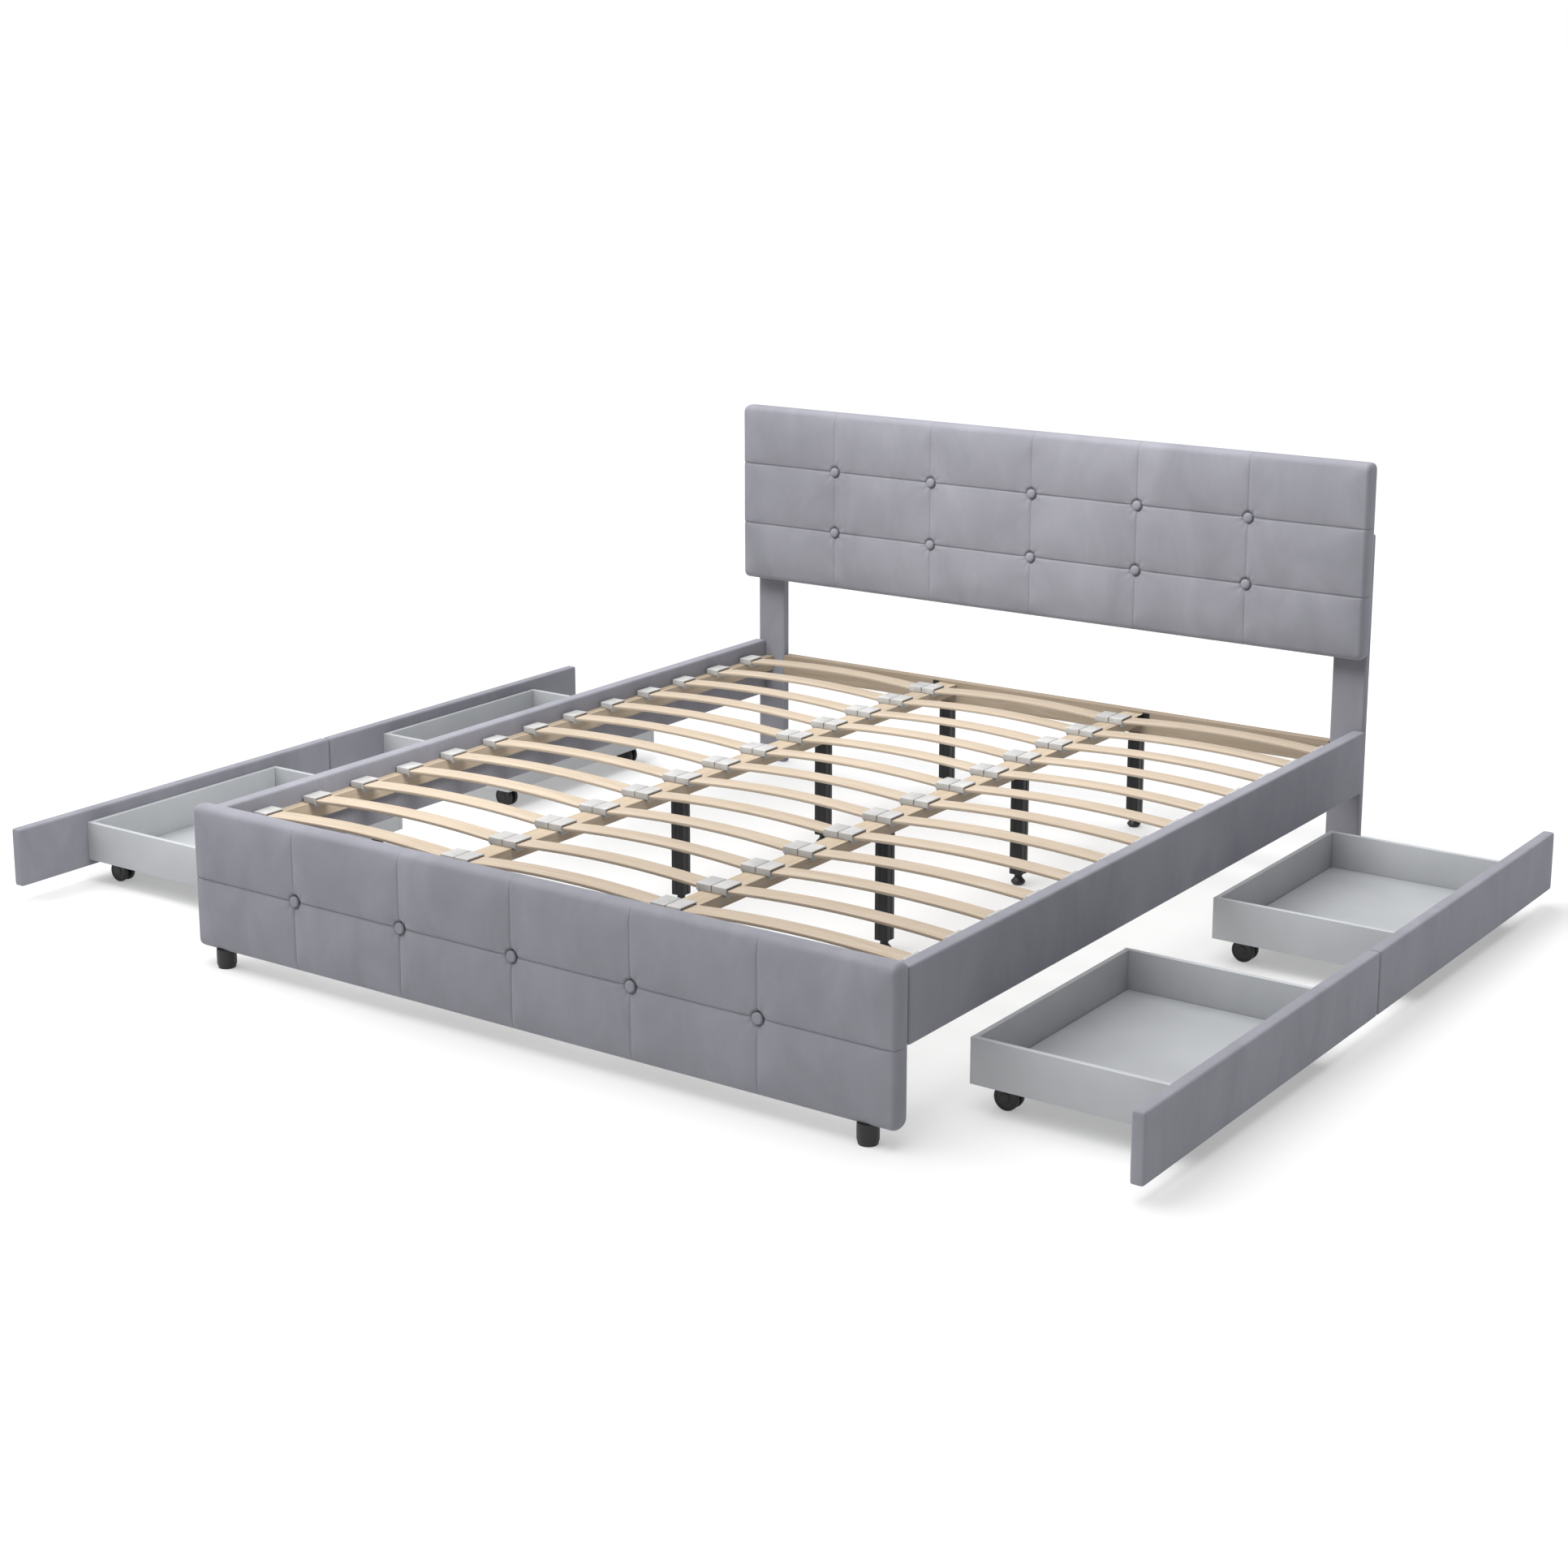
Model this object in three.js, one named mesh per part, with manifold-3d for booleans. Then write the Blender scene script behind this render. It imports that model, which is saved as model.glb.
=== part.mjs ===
// Platform bed with four under-bed storage drawers, in millimetres, +Z up.
// The bed is drawn from the middle of its footboard's front face on the floor: +X to the right,
// +Y towards the headboard. The finished group is then centred on its own footprint.

import * as THREE from 'three';
import { mergeVertices } from 'three/addons/utils/BufferGeometryUtils.js';
import Module from 'manifold-3d';

const wasm = await Module();
wasm.setup();

// ---- Driving dimensions ----------------------------------------------------------------------

const GAP = 0.3; // clearance between two pieces that touch
const SLEEPING_WIDTH = 1805; // between the side rails, for a 1800 mattress
const SLEEPING_LENGTH = 2055; // from footboard to headboard, for a 2000 mattress

const RAIL_THICKNESS = 35;
const RAIL_HEIGHT = 159;
const RAIL_ABOVE_DRAWERS = 16;
const RAIL_ROUNDING = 9;

const FOOTBOARD_BOTTOM = 45;
const FOOTBOARD_RISE = 12; // above the side rails
const FOOTBOARD_PAD = 42;
const FOOTBOARD_ROUNDING = 14;
const HEADBOARD_ABOVE_RAIL = 195;
const HEADBOARD_HEIGHT = 483;
const HEADBOARD_PAD = 50;
const HEADBOARD_ROUNDING = 16;
const BOARD_THICKNESS = 18; // the stiff board behind each end's pad
const BOARD_INSET = 3; // how far the pad's edges overlap the board's

const POST_WIDTH = 89;
const POST_THICKNESS = 28;
const POST_OVERLAP = 303; // how far the posts run up behind the headboard
const POST_INSET = 8.5; // from the bed's side to the post's outer face
const FOOT_DIAMETER = 45;
const FOOT_FROM_SIDE = 69.5;
const FOOT_FROM_FRONT = 26;

const SUPPORT_DROP = 45; // from the side rails' top to the timber that the slat holders rest on
const CROSS_RAIL_THICKNESS = 28;
const CROSS_RAIL_HEIGHT = 60;
const HEAD_RAIL_RISE = 6; // how far the head cross rail stands above the other timber
const LEDGER_WIDTH = 25;
const LEDGER_HEIGHT = 40;
const CENTRE_RAIL_WIDTH = 55;
const CENTRE_RAIL_HEIGHT = 27;
const CENTRE_RAIL_SPACING = 574;

const LEG_SIDE = 34;
const LEG_GROOVE_WIDTH = 6;
const LEG_GROOVE_DEPTH = 2;
const LEG_OFFSET = 6; // outwards from the centre rail's middle
const LEG_SPACING = 612;
const NECK_DIAMETER = 14;
const NECK_HEIGHT = 8;
const GLIDE_DIAMETER = 36;
const GLIDE_HEIGHT = 12;

const SLAT_ROWS = 13;
const SLAT_WIDTH = 50;
const SLAT_THICKNESS = 8;
const SLAT_BOW = 13;
const SLAT_END_HEIGHT = 4.2; // of the middle of a slat's end above the timber
const SLAT_FOOT_MARGIN = 122; // from the footboard to the middle of the last row
const SLAT_HEAD_MARGIN = 111; // from the head cross rail to the middle of the first row
const HOLDER_LENGTH = 38;
const HOLDER_WIDTH = 56;
const HOLDER_HEIGHT = 16;
const HOLDER_FROM_RAIL = 6.5;
const HOLDER_SPLIT = 2; // the slot between the two sockets of a centre holder
const HOLDER_BRIDGE = 5; // the part under that slot that joins them
const SOCKET_DEPTH = 26; // how far a slat's end goes into its holder

const DRAWER_FRONT_THICKNESS = 31;
const DRAWER_FRONT_HEIGHT = 144;
const DRAWER_FRONT_BOTTOM = 40;
const DRAWER_FRONT_ROUNDING = 5;
const DRAWER_END_CLEARANCE = 3; // to the footboard, to the post and between two fronts
const DRAWER_OUT_RIGHT = 496.5; // how far the right drawers are rolled out
const DRAWER_OUT_LEFT = 704.5;
const BOX_DEPTH = 458;
const BOX_WIDTH = 643;
const BOX_HEIGHT = 97;
const BOX_WALL = 12;
const BOX_FLOOR = 9;

const WHEEL_DIAMETER = 54;
const WHEEL_TREAD = 11; // width of each of a caster's two wheels
const WHEEL_SPACE = 12; // between the two wheels
const WHEEL_EDGE = 3;
const AXLE_DIAMETER = 8;
const AXLE_CLEARANCE = 0.5;
const CASTER_WEB = 10;
const CASTER_BOSS = 22;
const CASTER_PLATE = 2;
const PLATE_ABOVE_WHEEL = 2;
const CASTER_PLATE_SIDE = 40;
const CASTER_FROM_SIDE = 57;
const CASTER_FROM_END = 57;

const ARC_STEPS = 3;
const SLAT_FACETS = 7; // odd, so that a slat's crown is a flat facet
const ROUND_STEPS = 16;
const BORE_STEPS = 8;

// ---- Derived sizes ----------------------------------------------------------------------------

const halfSleeping = SLEEPING_WIDTH / 2;
const halfWidth = halfSleeping + RAIL_THICKNESS;
const railBottom = DRAWER_FRONT_BOTTOM + DRAWER_FRONT_HEIGHT + RAIL_ABOVE_DRAWERS;
const railTop = railBottom + RAIL_HEIGHT;
const supportTop = railTop - SUPPORT_DROP;
const footboardHeight = railTop + FOOTBOARD_RISE - FOOTBOARD_BOTTOM;
const headboardBottom = railTop + HEADBOARD_ABOVE_RAIL;
const footboardBack = FOOTBOARD_PAD + BOARD_THICKNESS;
const headboardFront = footboardBack + SLEEPING_LENGTH;
const postFront = headboardFront + HEADBOARD_PAD + BOARD_THICKNESS;
const bedLength = postFront + POST_THICKNESS;
const postOuter = halfWidth - POST_INSET;
const postInner = postOuter - POST_WIDTH;
const footRailBack = footboardBack + GAP + CROSS_RAIL_THICKNESS;
const centreRailX = CENTRE_RAIL_SPACING / 2;
const holderOuter = halfSleeping - HOLDER_FROM_RAIL;
const casterTop = WHEEL_DIAMETER + PLATE_ABOVE_WHEEL;
const boxBottom = casterTop + CASTER_PLATE;

// ---- Materials --------------------------------------------------------------------------------

const velvet = new THREE.MeshStandardMaterial({ color: 0x8e8c97, roughness: 0.9, metalness: 0 });
const darkBoard = new THREE.MeshStandardMaterial({ color: 0x6f6e78, roughness: 0.9, metalness: 0 });
const birch = new THREE.MeshStandardMaterial({ color: 0xd9bf9c, roughness: 0.6, metalness: 0 });
const laminate = new THREE.MeshStandardMaterial({ color: 0xb4b8bb, roughness: 0.5, metalness: 0 });
const blackMetal = new THREE.MeshStandardMaterial({ color: 0x1a1a1c, roughness: 0.5, metalness: 0.3 });
const blackPlastic = new THREE.MeshStandardMaterial({ color: 0x151516, roughness: 0.4, metalness: 0 });

// ---- Helpers ----------------------------------------------------------------------------------

// A block between two corners.
function block(x0, x1, y0, y1, z0, z1) {
  const geometry = new THREE.BoxGeometry(x1 - x0, y1 - y0, z1 - z0);
  return geometry.translate((x0 + x1) / 2, (y0 + y1) / 2, (z0 + z1) / 2);
}

// A rectangle centred on the origin; top and bottom say how far its corners are rounded.
function roundedRectangle(width, height, top, bottom) {
  const x = width / 2;
  const y = height / 2;
  const shape = new THREE.Shape();
  shape.moveTo(-x + bottom, -y);
  shape.lineTo(x - bottom, -y);
  if (bottom > 0) shape.absarc(x - bottom, -y + bottom, bottom, -Math.PI / 2, 0);
  shape.absarc(x - top, y - top, top, 0, Math.PI / 2);
  shape.absarc(-x + top, y - top, top, Math.PI / 2, Math.PI);
  if (bottom > 0) shape.absarc(-x + bottom, -y + bottom, bottom, Math.PI, Math.PI * 1.5);
  return shape;
}

function extrude(shape, depth) {
  const settings = { depth, bevelEnabled: false, curveSegments: ARC_STEPS };
  return new THREE.ExtrudeGeometry(shape, settings).translate(0, 0, -depth / 2);
}

// A long padded piece: its outline stands in the YZ plane and runs along X.
function lengthAlongX(shape, length) {
  return extrude(shape, length).rotateX(Math.PI / 2).rotateZ(Math.PI / 2);
}

// The same with its outline in the XZ plane, along Y.
function lengthAlongY(shape, length) {
  return extrude(shape, length).rotateX(Math.PI / 2);
}

function cylinder(radius, z0, z1, steps = ROUND_STEPS) {
  const geometry = new THREE.CylinderGeometry(radius, radius, z1 - z0, steps).rotateX(Math.PI / 2);
  return geometry.translate(0, 0, (z0 + z1) / 2);
}

function toManifold(geometry) {
  const bare = geometry.clone();
  bare.deleteAttribute('normal');
  bare.deleteAttribute('uv');
  const merged = mergeVertices(bare, 1e-4);
  return new wasm.Manifold(new wasm.Mesh({
    numProp: 3,
    vertProperties: new Float32Array(merged.attributes.position.array),
    triVerts: new Uint32Array(merged.index.array),
  }));
}

function toGeometry(manifold) {
  const mesh = manifold.getMesh();
  const geometry = new THREE.BufferGeometry();
  geometry.setAttribute('position', new THREE.BufferAttribute(mesh.vertProperties, mesh.numProp));
  geometry.setIndex(new THREE.BufferAttribute(mesh.triVerts, 1));
  geometry.computeVertexNormals();
  return geometry;
}

function join(geometries) {
  const [first, ...rest] = geometries.map(toManifold);
  return rest.reduce((sum, next) => sum.add(next), first);
}

function cut(manifold, geometries) {
  return geometries.map(toManifold).reduce((left, next) => left.subtract(next), manifold);
}

const bed = new THREE.Group();

function addPart(name, geometry, material, x = 0, y = 0, z = 0) {
  const mesh = new THREE.Mesh(geometry, material);
  mesh.name = name;
  mesh.position.set(x, y, z);
  bed.add(mesh);
}

const SIDES = [{ side: 'left', sign: -1 }, { side: 'right', sign: 1 }];

// ---- Headboard and its posts --------------------------------------------------------------------

function addHeadboard() {
  const middle = headboardBottom + HEADBOARD_HEIGHT / 2;
  const padOutline = roundedRectangle(
    HEADBOARD_PAD - GAP, HEADBOARD_HEIGHT, HEADBOARD_ROUNDING, HEADBOARD_ROUNDING);
  addPart('headboard_pad', lengthAlongX(padOutline, 2 * halfWidth), velvet,
    0, headboardFront + (HEADBOARD_PAD - GAP) / 2, middle);

  const boardX = halfWidth - BOARD_INSET;
  const boardZ = HEADBOARD_HEIGHT / 2 - BOARD_INSET;
  const boardFront = headboardFront + HEADBOARD_PAD;
  addPart('headboard_board',
    block(-boardX, boardX, boardFront, postFront - GAP, middle - boardZ, middle + boardZ), darkBoard);

  for (const { side, sign } of SIDES) {
    addPart(`headboard_post_${side}`,
      block(-POST_WIDTH / 2, POST_WIDTH / 2, postFront, bedLength, 0, headboardBottom + POST_OVERLAP),
      velvet, sign * (postInner + POST_WIDTH / 2));
  }
}

// ---- Footboard and its feet ---------------------------------------------------------------------

function addFootboard() {
  const middle = FOOTBOARD_BOTTOM + footboardHeight / 2;
  const padOutline = roundedRectangle(
    FOOTBOARD_PAD - GAP, footboardHeight, FOOTBOARD_ROUNDING, BOARD_INSET);
  addPart('footboard_pad', lengthAlongX(padOutline, 2 * halfWidth), velvet,
    0, (FOOTBOARD_PAD - GAP) / 2, middle);

  const boardX = halfWidth - BOARD_INSET;
  addPart('footboard_board',
    block(-boardX, boardX, FOOTBOARD_PAD, footboardBack,
      FOOTBOARD_BOTTOM, FOOTBOARD_BOTTOM + footboardHeight - BOARD_INSET), darkBoard);

  for (const { side, sign } of SIDES) {
    addPart(`footboard_foot_${side}`, cylinder(FOOT_DIAMETER / 2, 0, FOOTBOARD_BOTTOM - GAP),
      blackPlastic, sign * (halfWidth - FOOT_FROM_SIDE), FOOT_FROM_FRONT);
  }
}

// ---- Side rails, timber and support legs ----------------------------------------------------------

function addSideRails() {
  const start = footboardBack + GAP;
  const end = postFront - GAP;
  const outline = roundedRectangle(RAIL_THICKNESS, RAIL_HEIGHT, RAIL_ROUNDING, BOARD_INSET);
  for (const { side, sign } of SIDES) {
    addPart(`side_rail_${side}`, lengthAlongY(outline, end - start), velvet,
      sign * (halfSleeping + RAIL_THICKNESS / 2), (start + end) / 2, railBottom + RAIL_HEIGHT / 2);
  }
}

function addTimber() {
  const headTop = supportTop + HEAD_RAIL_RISE;
  const headHalf = postInner - GAP;
  const footHalf = halfSleeping - GAP;
  addPart('head_cross_rail',
    block(-headHalf, headHalf, postFront, postFront + CROSS_RAIL_THICKNESS,
      headTop - CROSS_RAIL_HEIGHT, headTop), birch);
  addPart('foot_cross_rail',
    block(-footHalf, footHalf, footboardBack + GAP, footRailBack,
      supportTop - CROSS_RAIL_HEIGHT, supportTop), birch);

  const start = footRailBack + GAP;
  const end = postFront - GAP;
  for (const { side, sign } of SIDES) {
    addPart(`ledger_${side}`,
      block(-LEDGER_WIDTH / 2, LEDGER_WIDTH / 2, start, end, supportTop - LEDGER_HEIGHT, supportTop),
      birch, sign * (halfSleeping - GAP - LEDGER_WIDTH / 2));
    addPart(`centre_rail_${side}`,
      block(-CENTRE_RAIL_WIDTH / 2, CENTRE_RAIL_WIDTH / 2, start, end,
        supportTop - CENTRE_RAIL_HEIGHT, supportTop),
      birch, sign * centreRailX);
  }
}

// A square tube with a groove down each side, on a neck and a round glide.
function legGeometry(top) {
  const half = LEG_SIDE / 2;
  const tubeBottom = GLIDE_HEIGHT + NECK_HEIGHT;
  const overlap = 1;
  const tube = block(-half, half, -half, half, tubeBottom, top);
  const neck = cylinder(NECK_DIAMETER / 2, GLIDE_HEIGHT - overlap, tubeBottom + overlap, BORE_STEPS);
  const glide = cylinder(GLIDE_DIAMETER / 2, 0, GLIDE_HEIGHT);
  const groove = block(-LEG_GROOVE_WIDTH / 2, LEG_GROOVE_WIDTH / 2,
    half - LEG_GROOVE_DEPTH, half + overlap, tubeBottom - overlap, top + overlap);
  const grooves = [0, 1, 2, 3].map((turn) => groove.clone().rotateZ(turn * Math.PI / 2));
  return toGeometry(join([glide, neck]).add(cut(toManifold(tube), grooves)));
}

function addLegs() {
  const headLegY = bedLength - GLIDE_DIAMETER / 2;
  const headTop = supportTop + HEAD_RAIL_RISE - CROSS_RAIL_HEIGHT - GAP;
  const railTop = supportTop - CENTRE_RAIL_HEIGHT - GAP;
  const rows = [
    { row: 'head', y: headLegY, top: headTop },
    { row: 'middle', y: headLegY - LEG_SPACING, top: railTop },
    { row: 'foot', y: headLegY - 2 * LEG_SPACING, top: railTop },
  ];
  for (const { row, y, top } of rows) {
    const geometry = legGeometry(top);
    for (const { side, sign } of SIDES) {
      addPart(`support_leg_${row}_${side}`, geometry, blackMetal, sign * (centreRailX + LEG_OFFSET), y);
    }
  }
}

// ---- Slats ----------------------------------------------------------------------------------------

// A slat bowed upwards between x0 and x1.
function slatGeometry(x0, x1) {
  const half = (x1 - x0) / 2;
  const radius = (half * half + SLAT_BOW * SLAT_BOW) / (2 * SLAT_BOW);
  const halfAngle = Math.asin(half / radius);
  const arc = (r) => Array.from({ length: SLAT_FACETS + 1 }, (_, i) => {
    const angle = halfAngle * (2 * i / SLAT_FACETS - 1);
    return new THREE.Vector2(r * Math.sin(angle), r * Math.cos(angle));
  });
  const over = arc(radius + SLAT_THICKNESS / 2);
  const under = arc(radius - SLAT_THICKNESS / 2);
  const shape = new THREE.Shape([...under, ...over.reverse()]);
  const geometry = lengthAlongY(shape, SLAT_WIDTH);
  return geometry.translate((x0 + x1) / 2, 0, SLAT_END_HEIGHT + SLAT_BOW - radius);
}

function holder(x0, x1, height) {
  return block(x0, x1, -HOLDER_WIDTH / 2, HOLDER_WIDTH / 2, 0, height);
}

// Three slats across the bed, with a single holder at each end and double ones between them.
function slatRowGeometry() {
  const split = HOLDER_SPLIT / 2;
  const bays = [
    [-holderOuter, -centreRailX - split],
    [-centreRailX + split, centreRailX - split],
    [centreRailX + split, holderOuter],
  ];
  const pieces = [];
  for (const [x0, x1] of bays) {
    const inset = HOLDER_LENGTH - SOCKET_DEPTH;
    pieces.push(slatGeometry(x0 + inset, x1 - inset));
    pieces.push(holder(x0, x0 + HOLDER_LENGTH, HOLDER_HEIGHT));
    pieces.push(holder(x1 - HOLDER_LENGTH, x1, HOLDER_HEIGHT));
  }
  for (const { sign } of SIDES) {
    pieces.push(holder(sign * centreRailX - HOLDER_LENGTH / 2, sign * centreRailX + HOLDER_LENGTH / 2,
      HOLDER_BRIDGE));
  }
  return toGeometry(join(pieces));
}

function addSlats() {
  const first = postFront - SLAT_HEAD_MARGIN;
  const last = footboardBack + SLAT_FOOT_MARGIN;
  const pitch = (first - last) / (SLAT_ROWS - 1);
  const geometry = slatRowGeometry();
  for (let row = 0; row < SLAT_ROWS; row += 1) {
    const number = String(row + 1).padStart(2, '0');
    addPart(`slat_row_${number}`, geometry, birch, 0, first - row * pitch, supportTop + GAP);
  }
}

// ---- Drawers ----------------------------------------------------------------------------------------

// A caster's fixed plate and web, over the wheel's axis at the origin's x and y.
function casterMountGeometries() {
  const axisZ = WHEEL_DIAMETER / 2;
  const side = CASTER_PLATE_SIDE / 2;
  const overlap = 1;
  const plate = block(-side, side, -side, side, casterTop, boxBottom + overlap);
  const web = block(-CASTER_BOSS / 2, CASTER_BOSS / 2, -CASTER_WEB / 2, CASTER_WEB / 2,
    axisZ, casterTop + overlap);
  const boss = new THREE.CylinderGeometry(CASTER_BOSS / 2, CASTER_BOSS / 2, CASTER_WEB, ROUND_STEPS);
  return [plate, web, boss.translate(0, 0, axisZ)];
}

function casterPlaces() {
  const x = BOX_DEPTH / 2 - CASTER_FROM_END;
  const y = BOX_WIDTH / 2 - CASTER_FROM_SIDE;
  return [
    { place: 'back_foot', x: -x, y: -y },
    { place: 'back_head', x: -x, y },
    { place: 'front_foot', x, y: -y },
    { place: 'front_head', x, y },
  ];
}

// The open box of a drawer with its four caster mounts; +X is towards the drawer's front.
function drawerBoxGeometry() {
  const x = BOX_DEPTH / 2;
  const y = BOX_WIDTH / 2;
  const top = boxBottom + BOX_HEIGHT;
  const pieces = [block(-x, x, -y, y, boxBottom, top)];
  const bores = [];
  for (const at of casterPlaces()) {
    for (const geometry of casterMountGeometries()) pieces.push(geometry.translate(at.x, at.y, 0));
    const boreRadius = AXLE_DIAMETER / 2 + AXLE_CLEARANCE;
    const bore = new THREE.CylinderGeometry(boreRadius, boreRadius, WHEEL_SPACE, BORE_STEPS);
    bores.push(bore.translate(at.x, at.y, WHEEL_DIAMETER / 2));
  }
  const inside = block(-x + BOX_WALL, x - BOX_WALL, -y + BOX_WALL, y - BOX_WALL,
    boxBottom + BOX_FLOOR, top + BOX_WALL);
  return toGeometry(cut(join(pieces), [inside, ...bores]));
}

// Two wheels on one axle, which runs along Y.
function casterWheelGeometry() {
  const axle = AXLE_DIAMETER / 2;
  const radius = WHEEL_DIAMETER / 2;
  const inner = WHEEL_SPACE / 2;
  const outer = inner + WHEEL_TREAD;
  const profile = [
    [0, -outer], [radius - WHEEL_EDGE, -outer], [radius, -outer + WHEEL_EDGE], [radius, -inner],
    [axle, -inner], [axle, inner],
    [radius, inner], [radius, outer - WHEEL_EDGE], [radius - WHEEL_EDGE, outer], [0, outer],
  ];
  return new THREE.LatheGeometry(profile.map(([r, y]) => new THREE.Vector2(r, y)), ROUND_STEPS);
}

function addDrawers() {
  const start = footboardBack + DRAWER_END_CLEARANCE;
  const end = postFront - DRAWER_END_CLEARANCE;
  const frontLength = (end - start - DRAWER_END_CLEARANCE) / 2;
  const ends = [
    { end: 'foot', y: start + frontLength / 2 },
    { end: 'head', y: end - frontLength / 2 },
  ];
  const outline = roundedRectangle(
    DRAWER_FRONT_THICKNESS, DRAWER_FRONT_HEIGHT, DRAWER_FRONT_ROUNDING, DRAWER_FRONT_ROUNDING);
  const frontGeometry = lengthAlongY(outline, frontLength);
  const frontZ = DRAWER_FRONT_BOTTOM + DRAWER_FRONT_HEIGHT / 2;
  const boxGeometry = drawerBoxGeometry();
  const wheelGeometry = casterWheelGeometry();

  for (const { side, sign } of SIDES) {
    const face = halfWidth + (sign > 0 ? DRAWER_OUT_RIGHT : DRAWER_OUT_LEFT);
    const frontX = sign * (face - DRAWER_FRONT_THICKNESS / 2);
    const boxX = sign * (face - DRAWER_FRONT_THICKNESS - GAP - BOX_DEPTH / 2);
    for (const { end: name, y } of ends) {
      addPart(`drawer_front_${side}_${name}`, frontGeometry, velvet, frontX, y, frontZ);
      addPart(`drawer_box_${side}_${name}`, boxGeometry, laminate, boxX, y);
      for (const at of casterPlaces()) {
        addPart(`caster_wheel_${side}_${name}_${at.place}`, wheelGeometry, blackPlastic,
          boxX + sign * at.x, y + at.y, WHEEL_DIAMETER / 2);
      }
    }
  }
}

addHeadboard();
addFootboard();
addSideRails();
addTimber();
addLegs();
addSlats();
addDrawers();

// The origin is on the floor under the middle of everything, drawers included.
bed.position.set((DRAWER_OUT_LEFT - DRAWER_OUT_RIGHT) / 2, -bedLength / 2, 0);

export default bed;
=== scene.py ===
import math

import bmesh
import bpy
import numpy as np
from mathutils import Matrix, Vector, noise


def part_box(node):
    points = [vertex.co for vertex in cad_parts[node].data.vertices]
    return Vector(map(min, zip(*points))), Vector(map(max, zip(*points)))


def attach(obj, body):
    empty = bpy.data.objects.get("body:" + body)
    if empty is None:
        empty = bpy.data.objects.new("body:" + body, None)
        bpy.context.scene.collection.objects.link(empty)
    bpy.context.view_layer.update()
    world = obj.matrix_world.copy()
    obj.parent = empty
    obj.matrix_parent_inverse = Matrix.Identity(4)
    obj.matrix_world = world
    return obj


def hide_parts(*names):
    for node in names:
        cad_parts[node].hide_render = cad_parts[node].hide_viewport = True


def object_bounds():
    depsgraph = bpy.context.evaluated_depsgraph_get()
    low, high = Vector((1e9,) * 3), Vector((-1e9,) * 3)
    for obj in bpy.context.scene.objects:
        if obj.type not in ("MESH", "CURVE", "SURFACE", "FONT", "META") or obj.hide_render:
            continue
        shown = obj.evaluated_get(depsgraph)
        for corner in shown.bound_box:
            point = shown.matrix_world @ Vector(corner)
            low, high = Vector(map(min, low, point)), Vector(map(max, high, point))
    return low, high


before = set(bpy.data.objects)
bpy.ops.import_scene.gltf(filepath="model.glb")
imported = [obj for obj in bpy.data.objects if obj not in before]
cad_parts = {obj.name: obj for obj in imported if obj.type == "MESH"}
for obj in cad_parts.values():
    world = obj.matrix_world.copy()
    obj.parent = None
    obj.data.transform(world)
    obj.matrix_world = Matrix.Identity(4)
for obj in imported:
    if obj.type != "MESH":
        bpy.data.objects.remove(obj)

cad_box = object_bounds()

# ---- Sizes in metres -----------------------------------------------------------------------------

SOFT_EDGE = 0.0125           # rounding of the headboard's and footboard's padded edges
EDGE_SHAPE = np.array([1.0, 2.1, 1.6])   # that rounding's share across, in depth and in height
WRAP_EDGE = 0.006            # rounding of boards covered in thin foam
WRAP_CROWN = 0.0011          # how far such a board's faces stand out in the middle
WRAP_INSET = 0.0012          # and how far inside its box they start
COVER_GRID = 0.016           # spacing of the lines of a padded cover's grid
SEAM_DEPTH = 0.003           # how far the seams pull the padding in
CREASE_DEPTH = 0.0026        # stitched crease along a seam
CREASE_WIDTH = 0.0017
BUTTON_DEPTH = 0.0105        # how far the buttons pull the padding in
WELL_RADIUS = 0.0165         # steep well right round a button
FOLDS = 9                    # small folds that run out from a button
FOLD_DEPTH = 0.0012
BUTTON_RADIUS = 0.0123
PROUD = 0.0035               # how far the fabric stands out at the sides of a padded board
CROWN = 0.005                # how far the padding may swell between its seams
UNEVEN = 0.0011              # slight unevenness of the covers
PRESSURE = 4.0               # of the cloth simulation that swells them
SIM_FRAMES = 20
BUTTON_COLUMNS = 5
BUTTON_SPACING = 0.312
HEAD_ROWS = (0.326, 0.156)   # button rows above the headboard's lower edge
FOOT_ROW = 0.160             # the same on the footboard
DOMED_CAP = ((0.03, 1.0), (0.30, 0.985), (0.58, 0.90), (0.80, 0.70), (0.94, 0.38), (1.0, 0.0))
FLAT_CAP = ((0.03, 0.94), (0.45, 0.96), (0.72, 1.0), (0.88, 0.90), (0.97, 0.52), (1.0, 0.0))
DOMED_RISE = 0.0056
FLAT_RISE = 0.0034
DOMED_SEAT = 0.0040          # from the front of the pad back to a button's rim
FLAT_SEAT = 0.0052

SLAT_WIDTH = 0.050
SLAT_THICKNESS = 0.008
SLAT_BOW = 0.013
SLAT_END_HEIGHT = 0.0042     # middle of a slat's end above the timber
SOCKET_INSET = 0.012         # from a holder's closed end to the slat's end
HOLDER_LENGTH = 0.038
HOLDER_SECTION = (0.0560, 0.0158)
LIP_SECTION = (0.0564, 0.0162)
MOUTH_SECTION = (0.0512, 0.0098)
HOLDER_SPLIT = 0.002         # slot between the two sockets of a centre holder

LEG_SIDE = 0.034
LEG_TUBE_BOTTOM = 0.029      # above it is the square tube, below it the neck and the glide
GLIDE_TOP = 0.0172

BOX_WALL = 0.012
BOX_FLOOR = 0.009
WHEEL_RADIUS = 0.027
CASTER_FROM_SIDE = 0.057
CASTER_FROM_END = 0.057
CASTER_CLEARANCE = 0.004     # from the top of a wheel to the drawer's bottom
PLATE_SIDE = 0.040
SCREW_PLACE = 0.0145

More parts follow.
